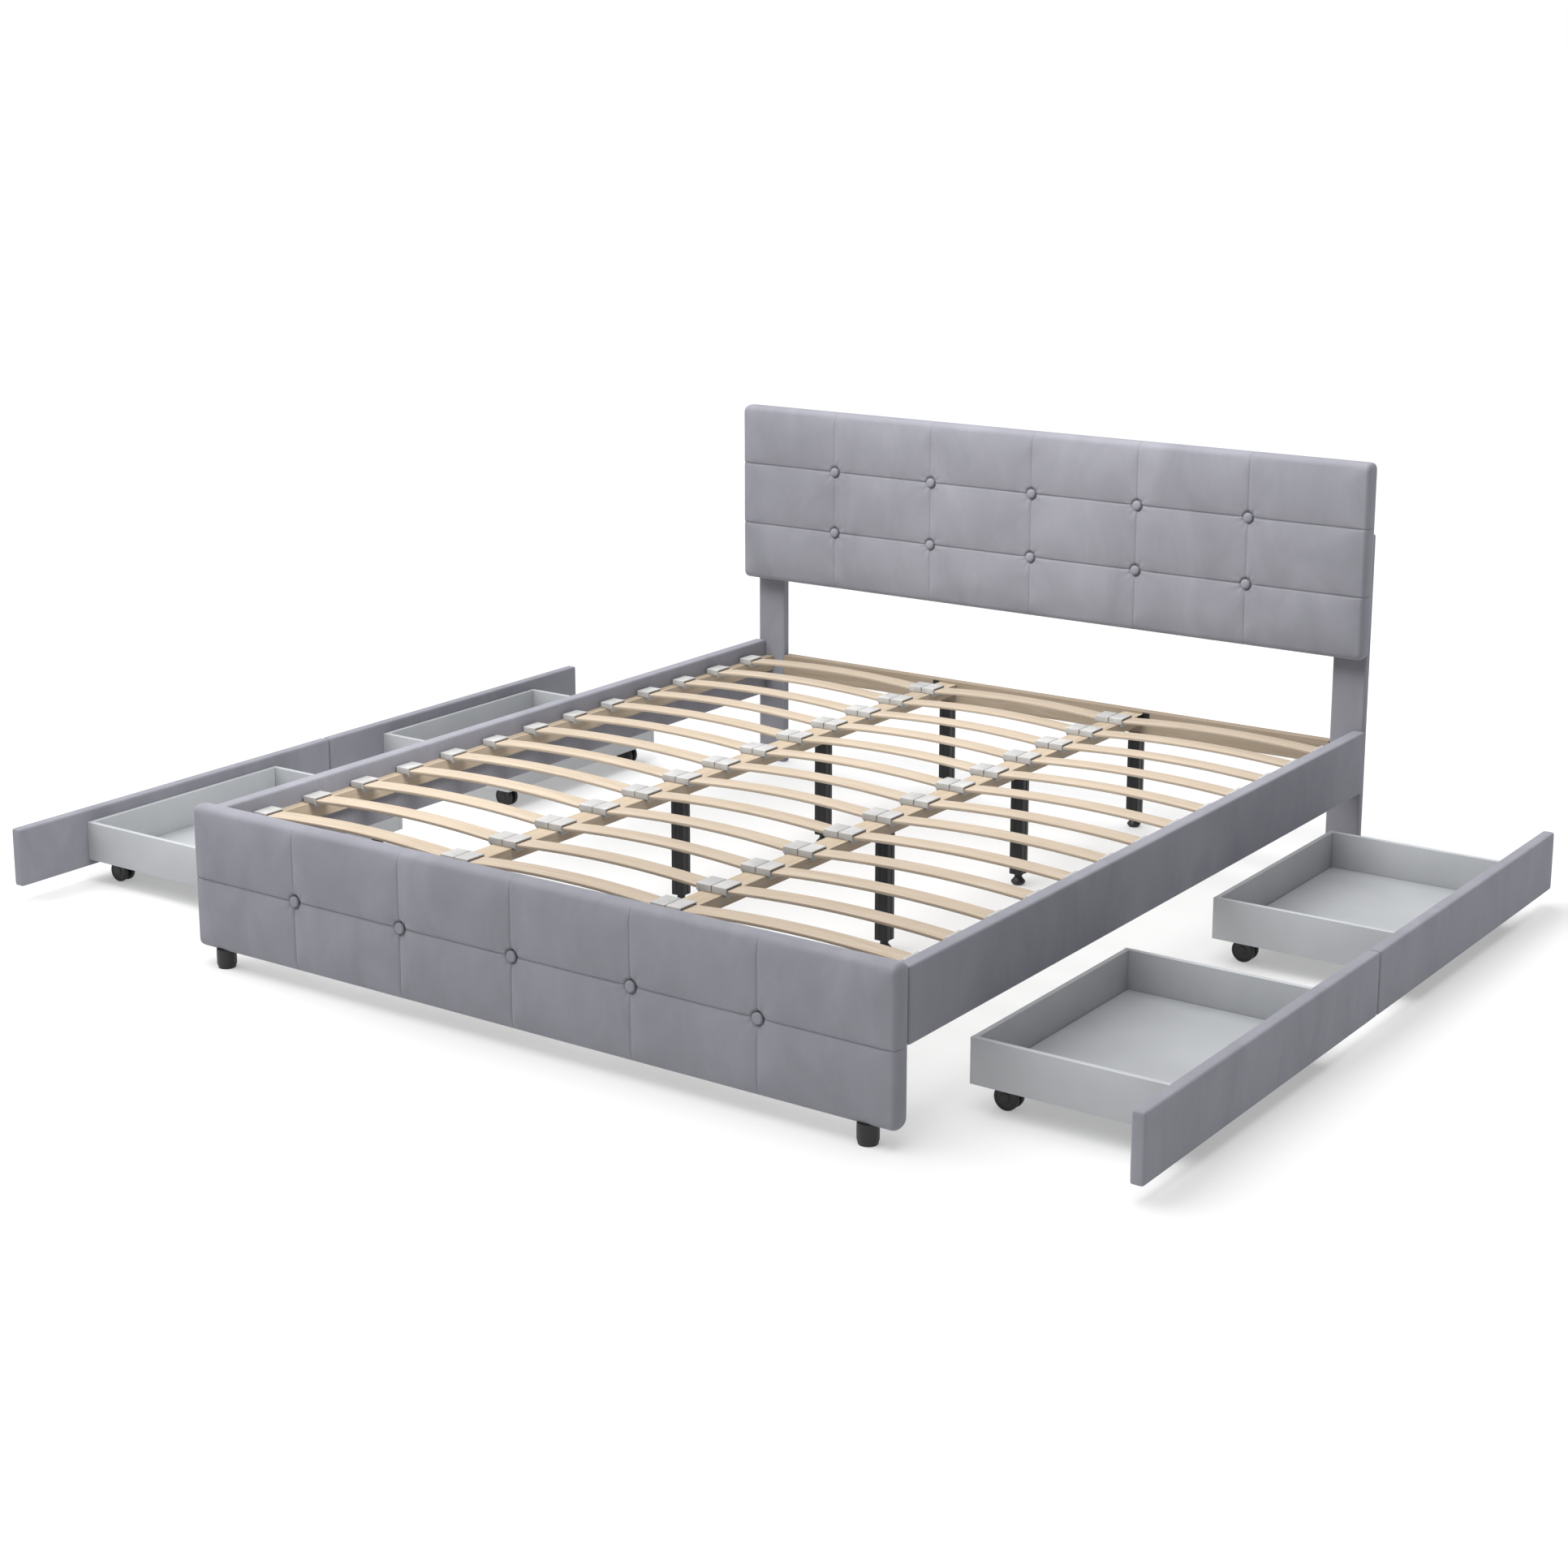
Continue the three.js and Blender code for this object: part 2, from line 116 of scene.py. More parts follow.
LENS = 61.54
SENSOR = 36.0
LENS_SHIFT = -0.0859
VIEW_AZIMUTH = 35.04         # degrees from the bed's length
VIEW_ELEVATION = 12.85       # degrees downwards
VIEW_FROM_FOOT = (3.4731, -3.9677)   # camera's place from the middle of the foot end
VIEW_HEIGHT = 2.0515

SIDES = ("left", "right")
ENDS = ("foot", "head")


# ---- Node materials ------------------------------------------------------------------------------

class Tree:
    """A short way to write a node tree: each call adds one node and returns it."""

    def __init__(self, name):
        self.material = bpy.data.materials.new(name)
        self.material.use_nodes = True
        self.tree = self.material.node_tree
        self.shader = self.tree.nodes["Principled BSDF"]

    def add(self, kind, inputs=None, **settings):
        node = self.tree.nodes.new(kind)
        for key, value in settings.items():
            setattr(node, key, value)
        for key, value in (inputs or {}).items():
            self.feed(node.inputs[key], value)
        return node

    def feed(self, socket, value):
        if isinstance(value, bpy.types.NodeSocket):
            self.tree.links.new(value, socket)
        else:
            socket.default_value = value

    def shade(self, **inputs):
        for key, value in inputs.items():
            self.feed(self.shader.inputs[key.replace("_", " ")], value)

    def place(self, scale):
        """Object coordinates stretched by scale."""
        coordinates = self.add("ShaderNodeTexCoord").outputs["Object"]
        return self.add("ShaderNodeMapping", {"Vector": coordinates, "Scale": scale}).outputs["Vector"]

    def noise(self, vector, scale, detail=3.0, roughness=0.55, distortion=0.0):
        node = self.add("ShaderNodeTexNoise", {"Vector": vector, "Scale": scale, "Detail": detail,
                                               "Roughness": roughness, "Distortion": distortion})
        return node.outputs["Fac"]

    def ramp(self, factor, stops):
        node = self.add("ShaderNodeValToRGB", {"Fac": factor})
        elements = node.color_ramp.elements
        while len(elements) < len(stops):
            elements.new(0.5)
        for element, (position, color) in zip(elements, stops):
            element.position = position
            element.color = (*color, 1.0)
        return node.outputs["Color"]

    def mix(self, factor, a, b):
        node = self.add("ShaderNodeMix", data_type="RGBA")
        self.feed(node.inputs[0], factor)
        self.feed(node.inputs[6], a)
        self.feed(node.inputs[7], b)
        return node.outputs[2]

    def span(self, factor, low, high):
        """The factor, stretched to run from low to high."""
        return self.add("ShaderNodeMapRange", {"Value": factor, "To Min": low, "To Max": high}).outputs[0]

    def bump(self, height, strength, distance, normal=None):
        inputs = {"Height": height, "Strength": strength, "Distance": distance}
        if normal is not None:
            inputs["Normal"] = normal
        return self.add("ShaderNodeBump", inputs).outputs["Normal"]


def velvet(name, dark, light):
    """Short-pile velvet: brushed clouds in its colour, fine pile in its bump, and sheen at the edges."""
    t = Tree(name)
    plain = t.place((1.0, 1.0, 1.0))
    brushed = t.place((1.5, 1.5, 0.8))
    clouds = t.noise(brushed, 5.0, 5.0, 0.6, 0.8)
    streaks = t.noise(t.place((6.0, 6.0, 1.0)), 14.0, 3.0, 0.5)
    pile = t.noise(plain, 900.0, 2.0)
    color = t.ramp(clouds, [(0.30, dark), (0.72, light)])
    color = t.mix(t.span(streaks, 0.0, 0.35), color, (*dark, 1.0))
    color = t.mix(t.span(pile, 0.0, 0.30), color, (*light, 1.0))
    relief = t.bump(t.noise(plain, 60.0, 4.0), 0.12, 0.0015)
    relief = t.bump(pile, 0.25, 0.0004, relief)
    t.shade(Base_Color=color, Roughness=t.span(clouds, 0.78, 0.95), Normal=relief)
    t.shade(Sheen_Weight=0.28, Sheen_Roughness=0.45, Sheen_Tint=(0.86, 0.87, 1.0, 1.0))
    t.shade(Specular_IOR_Level=0.12)
    return t.material


def wood(name, along, pale, warm, gloss=0.46):
    """Planed pale timber with its grain along one axis, 0 for X or 1 for Y."""
    t = Tree(name)
    stretch = [26.0, 26.0, 26.0]
    stretch[along] = 1.3
    fleck_stretch = [220.0, 220.0, 220.0]
    fleck_stretch[along] = 16.0
    grain = t.noise(t.place(stretch), 3.2, 6.0, 0.62, 0.9)
    flecks = t.noise(t.place(fleck_stretch), 1.6, 3.0, 0.6)
    boards = t.noise(t.place([s * 0.07 for s in stretch]), 5.0, 1.0)
    color = t.ramp(grain, [(0.33, warm), (0.64, pale)])
    color = t.mix(t.span(boards, 0.0, 0.25), color, (*warm, 1.0))
    color = t.mix(t.span(flecks, 0.0, 0.22), color, (*[c * 0.72 for c in warm], 1.0))
    relief = t.bump(flecks, 0.10, 0.0004)
    t.shade(Base_Color=color, Roughness=t.span(grain, gloss, gloss + 0.16), Normal=relief)
    t.shade(Specular_IOR_Level=0.35)
    return t.material


def laminate(name, color):
    """Foil-faced board: faint mottling and a fine orange-peel surface."""
    t = Tree(name)
    plain = t.place((1.0, 1.0, 1.0))
    mottle = t.noise(plain, 9.0, 3.0)
    peel = t.noise(plain, 420.0, 2.0)
    shade = [c * 0.94 for c in color]
    base = t.ramp(mottle, [(0.35, shade), (0.65, color)])
    t.shade(Base_Color=base, Roughness=t.span(mottle, 0.40, 0.52), Normal=t.bump(peel, 0.10, 0.0002))
    t.shade(Specular_IOR_Level=0.4)
    return t.material


def moulded(name, color, rough, grain_scale, metallic=0.0):
    """Moulded plastic or powder coat: a fine grain in its bump and roughness."""
    t = Tree(name)
    plain = t.place((1.0, 1.0, 1.0))
    grain = t.noise(plain, grain_scale, 2.0)
    wear = t.noise(plain, 22.0, 4.0)
    lighter = [min(1.0, c * 1.25 + 0.004) for c in color]
    base = t.ramp(wear, [(0.4, color), (0.75, lighter)])
    t.shade(Base_Color=base, Roughness=t.span(wear, rough, rough + 0.14))
    t.shade(Normal=t.bump(grain, 0.18, 0.0003), Metallic=metallic)
    return t.material


VELVET = velvet("velvet", (0.180, 0.180, 0.203), (0.240, 0.240, 0.268))
# The cross rails' timber is a darker copy of the rail timber: painted shade, besides its grain along X.
TIMBER_X_PAINTED_SHADE = wood("timber_x_painted_shade", 0, (0.30, 0.245, 0.185), (0.23, 0.178, 0.125))
TIMBER_Y = wood("timber_y", 1, (0.43, 0.355, 0.27), (0.34, 0.265, 0.185))
SLAT = wood("slat", 0, (0.44, 0.37, 0.29), (0.36, 0.29, 0.215))
LAMINATE = laminate("laminate", (0.405, 0.416, 0.429))
# The drawer bottoms' laminate is a darker copy of the same laminate: painted shade on the upward-facing
# board.
LAMINATE_BOTTOM_PAINTED_SHADE = laminate("laminate_bottom_painted_shade", (0.345, 0.355, 0.366))
HOLDER = moulded("holder", (0.355, 0.352, 0.345), 0.45, 700.0)
BLACK_METAL = moulded("black_metal", (0.009, 0.009, 0.010), 0.36, 1500.0, 0.3)
BLACK_PLASTIC = moulded("black_plastic", (0.009, 0.009, 0.010), 0.40, 900.0)
STEEL = moulded("steel", (0.42, 0.42, 0.43), 0.30, 600.0, 1.0)
UNDERLINING = moulded("underlining", (0.10, 0.10, 0.11), 0.8, 500.0)


# ---- Mesh helpers --------------------------------------------------------------------------------

def make_object(name, mesh, material, smooth=True):
    obj = bpy.data.objects.new(name, mesh)
    bpy.context.scene.collection.objects.link(obj)
    obj.data.materials.append(material)
    obj.data.polygons.foreach_set("use_smooth", [smooth] * len(obj.data.polygons))
    return obj


def finish_piece(obj, body, replaced=()):
    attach(obj, body)
    if replaced:
        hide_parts(*replaced)
    return obj


def mesh_from(name, verts, faces):
    mesh = bpy.data.meshes.new(name)
    mesh.from_pydata([tuple(v) for v in verts], [], faces)
    mesh.validate()
    bm = bmesh.new()
    bm.from_mesh(mesh)
    bmesh.ops.recalc_face_normals(bm, faces=bm.faces)
    bm.to_mesh(mesh)
    bm.free()
    return mesh


def box_grid(lines):
    """The surface of a block as a grid, with one vertex where three of the given lines cross on it."""
    xs, ys, zs = [list(axis) for axis in lines]
    index, verts, faces = {}, [], []

    def vertex(i, j, k):
        key = (i, j, k)
        if key not in index:
            index[key] = len(verts)
            verts.append((xs[i], ys[j], zs[k]))
        return index[key]

    def face(*corners):
        faces.append([vertex(*corner) for corner in corners])

    nx, ny, nz = len(xs) - 1, len(ys) - 1, len(zs) - 1
    for i in range(nx):
        for j in range(ny):
            for k in (0, nz):
                face((i, j, k), (i + 1, j, k), (i + 1, j + 1, k), (i, j + 1, k))
    for i in range(nx):
        for k in range(nz):
            for j in (0, ny):
                face((i, j, k), (i + 1, j, k), (i + 1, j, k + 1), (i, j, k + 1))
    for j in range(ny):
        for k in range(nz):
            for i in (0, nx):
                face((i, j, k), (i, j + 1, k), (i, j + 1, k + 1), (i, j, k + 1))
    return np.array(verts, float), faces


def round_edges(verts, low, high, radius):
    """Moves the vertices of a block's surface so that its edges and corners are rounded."""
    inner = np.clip(verts, np.array(low) + radius, np.array(high) - radius)
    out = verts - inner
    length = np.maximum(np.linalg.norm(out, axis=1, keepdims=True), 1e-9)
    reach = np.minimum(length, radius)
    return inner + out / length * np.where(length > 1e-8, np.maximum(reach, radius), 0)


def edge_lines(low, high, radius, step, steps=3):
    """Grid lines from low to high: close together over the rounded edges, then about step apart."""
    rounded = [radius * (1 - math.cos(math.pi / 2 * i / steps)) for i in range(steps + 1)]
    count = max(1, round((high - low - 2 * radius) / step))
    middle = np.linspace(low + radius, high - radius, count + 1)
    return [low + r for r in rounded[:-1]] + list(middle) + [high - r for r in reversed(rounded[:-1])]


def rounded_block(name, low, high, radius, material, step=0.2, steps=3):
    """A hard block with rounded edges."""
    lines = [edge_lines(a, b, radius, step, steps) for a, b in zip(low, high)]
    verts, faces = box_grid(lines)
    return make_object(name, mesh_from(name, round_edges(verts, low, high, radius), faces), material)


def loft(loops):
    """Vertices and faces of a closed skin through loops of the same number of points."""
    count = len(loops[0])
    verts = [p for loop in loops for p in loop]
    faces = []
    for a in range(len(loops) - 1):
        for i in range(count):
            j = (i + 1) % count
            faces.append([a * count + i, a * count + j, (a + 1) * count + j, (a + 1) * count + i])
    faces.append(list(range(count)))
    faces.append([(len(loops) - 1) * count + i for i in range(count)])
    return verts, faces


def lathe(profile, steps=40):
    """Loops of a solid of revolution about Z, from (radius, z) pairs; it starts and ends on flat caps."""
    turns = [2 * math.pi * i / steps for i in range(steps)]
    return loft([[(r * math.cos(t), r * math.sin(t), z) for t in turns] for r, z in profile])


def rounded_rectangle(width, height, radius, steps=3):
    """Points of a rounded rectangle about the origin."""
    points = []
    for corner in range(4):
        sx = 1 if corner in (0, 3) else -1
        sy = 1 if corner in (0, 1) else -1
        for i in range(steps + 1):
            angle = math.pi / 2 * (corner + i / steps)
            points.append((sx * (width / 2 - radius) + radius * math.cos(angle),
                           sy * (height / 2 - radius) + radius * math.sin(angle)))
    return points


def merged(name, parts, material):
    """One object from several (vertices, faces) parts."""
    verts, faces = [], []
    for part_verts, part_faces in parts:
        start = len(verts)
        verts += [tuple(v) for v in part_verts]
        faces += [[i + start for i in face] for face in part_faces]
    return make_object(name, mesh_from(name, verts, faces), material)


def moved(part, offset):
    verts, faces = part
    return [tuple(Vector(v) + Vector(offset)) for v in verts], faces


def turned(part, matrix):
    verts, faces = part
    return [tuple(matrix @ Vector(v)) for v in verts], faces


def sharpen(obj, angle=32):
    """Keeps the edges past this angle crisp under smooth shading."""
    obj.data.set_sharp_from_angle(angle=math.radians(angle))


def crisp(obj, width=0.0015, segments=3):
    """A CAD node's edges, eased as sanded timber is."""
    bevel = obj.modifiers.new("eased_edges", "BEVEL")
    bevel.width = width
    bevel.segments = segments
    bevel.limit_method = "ANGLE"
    bevel.harden_normals = False
    obj.data.polygons.foreach_set("use_smooth", [True] * len(obj.data.polygons))
    sharp = obj.modifiers.new("normals", "WEIGHTED_NORMAL")
    sharp.keep_sharp = True


# ---- Upholstery ----------------------------------------------------------------------------------

def cell_lines(low, high, radius, seams, step):
    """Grid lines across a padded board: over its rounded edges, close to each seam, about step apart."""
    near = (0.0, 0.0022, 0.0055, 0.011, 0.0155, 0.0195)
    lines = set()
    stops = [low + radius, *sorted(seams), high - radius]
    for a, b in zip(stops, stops[1:]):
        count = max(3, round((b - a) / step))
        lines.update(round(v, 6) for v in np.linspace(a, b, count + 1))
    for seam in seams:
        lines = {v for v in lines if abs(v - seam) > near[-1] * 1.25}
        lines.update(round(seam + side * d, 6) for d in near for side in (-1, 1))
    rounded = [radius * (1 - math.cos(math.pi / 2 * i / 5)) for i in range(5)]
    return sorted({round(low + r, 6) for r in rounded} | lines | {round(high - r, 6) for r in rounded})


def swell(obj, held, cap):
    """Inflates a cover by a cloth simulation, pinned where held is 1; no point moves more than cap."""
    group = obj.vertex_groups.new(name="held")
    for i, weight in enumerate(held):
        if weight > 0.01:
            group.add([i], float(weight), "REPLACE")
    rest = np.array([v.co for v in obj.data.vertices])
    cloth = obj.modifiers.new("cover", "CLOTH")
    cloth.settings.quality = 6
    cloth.settings.mass = 0.3
    cloth.settings.tension_stiffness = 22
    cloth.settings.compression_stiffness = 22
    cloth.settings.shear_stiffness = 8
    cloth.settings.bending_stiffness = 0.6
    cloth.settings.use_pressure = True
    cloth.settings.uniform_pressure_force = PRESSURE
    cloth.settings.vertex_group_mass = "held"
    cloth.settings.effector_weights.gravity = 0.0
    cloth.collision_settings.use_collision = False
    cloth.point_cache.frame_start = 1
    cloth.point_cache.frame_end = SIM_FRAMES
    scene = bpy.context.scene
    for number in range(1, SIM_FRAMES + 1):
        scene.frame_set(number)
    evaluated = obj.evaluated_get(bpy.context.evaluated_depsgraph_get())
    result = np.array([v.co for v in evaluated.data.vertices])
    obj.modifiers.remove(cloth)
    scene.frame_set(1)
    travel = result - rest
    length = np.maximum(np.linalg.norm(travel, axis=1, keepdims=True), 1e-9)
    capped = travel / length * cap * np.tanh(length / cap)
    obj.data.vertices.foreach_set("co", (rest + capped).ravel())
    obj.data.update()


def apply_modifiers(obj):
    bpy.context.view_layer.objects.active = obj
    for modifier in list(obj.modifiers):
        with bpy.context.temp_override(object=obj, active_object=obj, selected_objects=[obj]):
            bpy.ops.object.modifier_apply(modifier=modifier.name)


def subdivide(obj):
    modifier = obj.modifiers.new("fine", "SUBSURF")
    modifier.levels = 1
    modifier.render_levels = 1
    apply_modifiers(obj)
    obj.data.polygons.foreach_set("use_smooth", [True] * len(obj.data.polygons))


def bell(distance, width):
    return np.exp(-(distance / width) ** 2)


def padded_panel(name, low, high, columns, rows, body, replaced, over_edges):
    """A buttoned panel: a cover over foam, held down along its seams and pulled in at its buttons.
    The front faces -Y. columns are the seams' x places, and rows their z places. With over_edges the
    upright seams run on round the edges."""
    low, high = np.array(low), np.array(high)
    radius = SOFT_EDGE
    sunk = CROWN * 0.4
    start_low = low - np.array([PROUD * 0.8, -sunk, PROUD * 1.45])
    start_high = high + np.array([PROUD * 0.8, 0.0, PROUD * (1.5 if over_edges else 0.8)])
    lines = [cell_lines(start_low[0], start_high[0], radius, columns, COVER_GRID),
             edge_lines(start_low[1], start_high[1], radius * EDGE_SHAPE[1], 0.014, 6),
             cell_lines(start_low[2], start_high[2], radius * EDGE_SHAPE[2], rows, COVER_GRID)]
    verts, faces = box_grid(lines)
    seam_x = np.min([np.abs(verts[:, 0] - x) for x in columns], axis=0)
    seam_z = np.min([np.abs(verts[:, 2] - z) for z in rows], axis=0)
    button = np.hypot(seam_x, seam_z)
    from_sides = np.minimum(verts - start_low, start_high - verts)[:, [0, 2]].min(axis=1)
    squeeze = 1.0 / EDGE_SHAPE
    squeezed_low, squeezed_high = start_low * squeeze, start_high * squeeze
    verts = round_edges(verts * squeeze, squeezed_low, squeezed_high, radius)
    normals = (verts - np.clip(verts, squeezed_low + radius, squeezed_high - radius)) * squeeze
    normals /= np.maximum(np.linalg.norm(normals, axis=1, keepdims=True), 1e-9)
    verts = verts / squeeze
    facing = np.clip(-normals[:, 1], 0, 1) ** 2
    pull = SEAM_DEPTH * np.maximum(bell(seam_x, 0.006) * 0.7, bell(seam_z, 0.006)) * facing
    pull = np.maximum(pull, BUTTON_DEPTH * 0.5 * bell(button, 0.022) * facing)
    pull = np.maximum(pull, CROWN * 1.3 * bell(from_sides, 0.024) * facing)
    verts = verts - normals * pull[:, None]
    held = np.where(facing < 0.7, 1.0, 0.0)
    held = np.maximum(held, np.where((seam_x < 0.001) | (seam_z < 0.001), 0.92, 0.0))
    held = np.maximum(held, np.where(button < 0.014, 1.0, 0.0))
    obj = make_object(name, mesh_from(name, verts, faces), VELVET)
    swell(obj, held, CROWN * 1.3)
    subdivide(obj)
    pucker(obj, high[1], columns, rows, over_edges)
    keep_inside(obj, low - PROUD * 1.6, high + np.array([PROUD * 1.3, 0.0, PROUD * 1.8]))
    finish_piece(obj, body, replaced)
    return obj


def pucker(obj, back, columns, rows, over_edges):
    """Creases along the seams, a well and small folds round each button, and a slight unevenness."""
    count = len(obj.data.vertices)
    co = np.empty(count * 3)
    obj.data.vertices.foreach_get("co", co)
    co = co.reshape(-1, 3)
    normal = np.empty(count * 3)
    obj.data.vertices.foreach_get("normal", normal)
    normal = normal.reshape(-1, 3)
    front = np.clip((back - 0.02 - co[:, 1]) / 0.02, 0, 1)
    seam_x = np.min([np.abs(co[:, 0] - x) for x in columns], axis=0)
    seam_z = np.min([np.abs(co[:, 2] - z) for z in rows], axis=0)
    facing = np.clip(-normal[:, 1], 0, 1) ** 2
    upright = 0.55 if over_edges else 0.55 * facing
    inward = CREASE_DEPTH * np.maximum(bell(seam_x, CREASE_WIDTH) * upright, bell(seam_z, CREASE_WIDTH))
    for x in columns:
        for z in rows:
            dx, dz = co[:, 0] - x, co[:, 2] - z
            away = np.hypot(dx, dz)
            angle = np.arctan2(dz, dx)
            folds = 0.5 + 0.5 * np.cos(angle * FOLDS + 37 * x + 11 * z)
            inward += FOLD_DEPTH * folds * bell(away - 0.024, 0.012)
            inward += BUTTON_DEPTH * 0.5 * np.exp(-(away / WELL_RADIUS) ** 8)
    uneven = np.array([noise.noise(Vector(p) * 9.0) for p in co]) * UNEVEN
    co = co - normal * (front * inward)[:, None] + normal * (uneven * front * facing)[:, None]
    obj.data.vertices.foreach_set("co", co.ravel())
    obj.data.update()


def keep_inside(obj, low, high):
    co = np.array([v.co for v in obj.data.vertices])
    obj.data.vertices.foreach_set("co", np.clip(co, low, high).ravel())
    obj.data.update()


def button(name, at, body, cap, rise):
    """A covered button: its cap, its rolled rim and a narrower neck behind it."""
    r = BUTTON_RADIUS
    profile = [(r * across, rise * up) for across, up in cap]
    profile += [(r * 0.96, -0.0022), (r * 0.80, -0.0042), (0.0004, -0.0048)]
    facing = Matrix.Rotation(math.pi / 2, 3, "X")
    part = moved(turned(lathe(profile), facing), at)
    obj = merged(name, [part], VELVET)
    finish_piece(obj, body)
    return obj


def wrapped_board(name, node, body, wavy=0.0008):
    """A board in thin foam and velvet: rounded, slightly crowned faces."""
    low, high = (np.array(c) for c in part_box(node))
    size = high - low
    radius = min(WRAP_EDGE, size.min() * 0.34)
    lines = [edge_lines(a, b, radius, 0.022, 4) for a, b in zip(low, high)]
    verts, faces = box_grid(lines)
    thin = int(np.argmin(size))
    inset = np.where(np.arange(3) == thin, WRAP_INSET, 0.0)
    start_low, start_high = low + inset, high - inset
    verts = start_low + (verts - low) / size * (start_high - start_low)
    verts = round_edges(verts, start_low, start_high, radius)
    wide = [a for a in range(3) if a != thin]
    crown = np.ones(len(verts))
    for axis in wide:
        t = (verts[:, axis] - start_low[axis]) / (start_high[axis] - start_low[axis])
        edge = np.minimum(t, 1 - t) * size[axis]
        crown *= np.clip(edge / 0.035, 0, 1) ** 0.5
    side = np.sign(verts[:, thin] - (low[thin] + high[thin]) / 2)
    verts[:, thin] += side * crown * WRAP_CROWN
    wave = np.array([noise.noise(Vector(p) * 7.0) for p in verts]) * wavy
    verts[:, thin] += side * wave * crown
    obj = make_object(name, mesh_from(name, verts, faces), VELVET)
    subdivide(obj)
    keep_inside(obj, low, high)
    finish_piece(obj, body, [node])
    return obj


def button_columns(low, high):
    """The x places of the upright seams and buttons, about the middle of a board."""
    middle = (low.x + high.x) / 2
    return [middle + (i - (BUTTON_COLUMNS - 1) / 2) * BUTTON_SPACING for i in range(BUTTON_COLUMNS)]


def make_headboard():
    low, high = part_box("headboard_pad")
    board_low, board_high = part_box("headboard_board")
    columns = button_columns(low, high)
    rows = [low.z + z for z in HEAD_ROWS]
    back = Vector((high.x, board_high.y, high.z))
    padded_panel("headboard_cover", low, back, columns, rows, "bed", ["headboard_pad", "headboard_board"],
                 True)
    lining_low = (board_low.x + 0.02, board_high.y - 0.0005, board_low.z + 0.02)
    lining_high = (board_high.x - 0.02, board_high.y + 0.0003, board_high.z - 0.02)
    lining = rounded_block("headboard_lining", lining_low, lining_high, 0.0003, UNDERLINING)
    finish_piece(lining, "bed")
    for r, z in enumerate(rows):
        for c, x in enumerate(columns):
            at = (x, low.y + DOMED_SEAT, z)
            button(f"headboard_button_{r + 1}_{c + 1}", at, "bed", DOMED_CAP, DOMED_RISE)


def make_footboard():
    low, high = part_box("footboard_pad")
    board_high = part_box("footboard_board")[1]
    columns = button_columns(low, high)
    rows = [low.z + FOOT_ROW]
    back = Vector((high.x, board_high.y, high.z))
    padded_panel("footboard_cover", low, back, columns, rows, "bed", ["footboard_pad", "footboard_board"],
                 False)
    for c, x in enumerate(columns):
        at = (x, low.y + FLAT_SEAT, rows[0])
        button(f"footboard_button_{c + 1}", at, "bed", FLAT_CAP, FLAT_RISE)
    for side in SIDES:
        make_foot(side)


def make_foot(side):
    low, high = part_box(f"footboard_foot_{side}")
    r = (high.x - low.x) / 2
    top = high.z - low.z
    profile = [(0.0005, 0.0), (r * 0.86, 0.0), (r * 0.90, 0.0012), (r * 0.90, 0.004), (r * 0.93, 0.005),
               (r * 0.95, 0.0075), (r, 0.010), (r, top - 0.003), (r * 0.97, top), (0.0005, top)]
    center = ((low.x + high.x) / 2, (low.y + high.y) / 2, low.z)
    obj = merged(f"foot_{side}", [moved(lathe(profile), center)], BLACK_PLASTIC)
    sharpen(obj)
    finish_piece(obj, "bed", [f"footboard_foot_{side}"])


def make_wrapped_boards():
    for side in SIDES:
        wrapped_board(f"side_rail_cover_{side}", f"side_rail_{side}", "bed")
        wrapped_board(f"post_cover_{side}", f"headboard_post_{side}", "bed", 0.0004)
        for end in ENDS:
            place = f"{side}_{end}"
            wrapped_board(f"drawer_front_cover_{place}", f"drawer_front_{place}", f"drawer_{place}")


# ---- Timber and legs -----------------------------------------------------------------------------

def make_timber():
    along_x = ("head_cross_rail", "foot_cross_rail")
    along_y = ("ledger_left", "ledger_right", "centre_rail_left", "centre_rail_right")
    # The cross rails get the darker timber, which paints in shade.
    for names, material in ((along_x, TIMBER_X_PAINTED_SHADE), (along_y, TIMBER_Y)):
        for name in names:
            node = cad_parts[name]
            node.data.materials.clear()
            node.data.materials.append(material)
            crisp(node)
    for side in SIDES:
        make_rail_bracket(side)


def make_rail_bracket(side):
    """The small steel angle that hangs a centre rail on the head cross rail."""
    rail_low, rail_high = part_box(f"centre_rail_{side}")
    cross_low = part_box("head_cross_rail")[0]
    outward = 1 if side == "right" else -1
    x = rail_high.x if outward > 0 else rail_low.x
    xs = sorted((x, x + outward * 0.0016))
    leg = ((xs[0], cross_low.y - 0.030, rail_low.z + 0.003), (xs[1], cross_low.y - 0.0004, rail_high.z))
    ys = (cross_low.y - 0.0018, cross_low.y - 0.0002)
    wing = sorted((x, x + outward * 0.020))
    obj = rounded_block(f"rail_bracket_leg_{side}", leg[0], leg[1], 0.0005, BLACK_METAL)
    finish_piece(obj, "bed")
    obj = rounded_block(f"rail_bracket_wing_{side}", (wing[0], ys[0], rail_low.z + 0.003),
                        (wing[1], ys[1], rail_high.z + 0.004), 0.0005, BLACK_METAL)
    finish_piece(obj, "bed")


def make_legs():
    for row in ("head", "middle", "foot"):
        for side in SIDES:
            make_leg(f"support_leg_{row}_{side}")


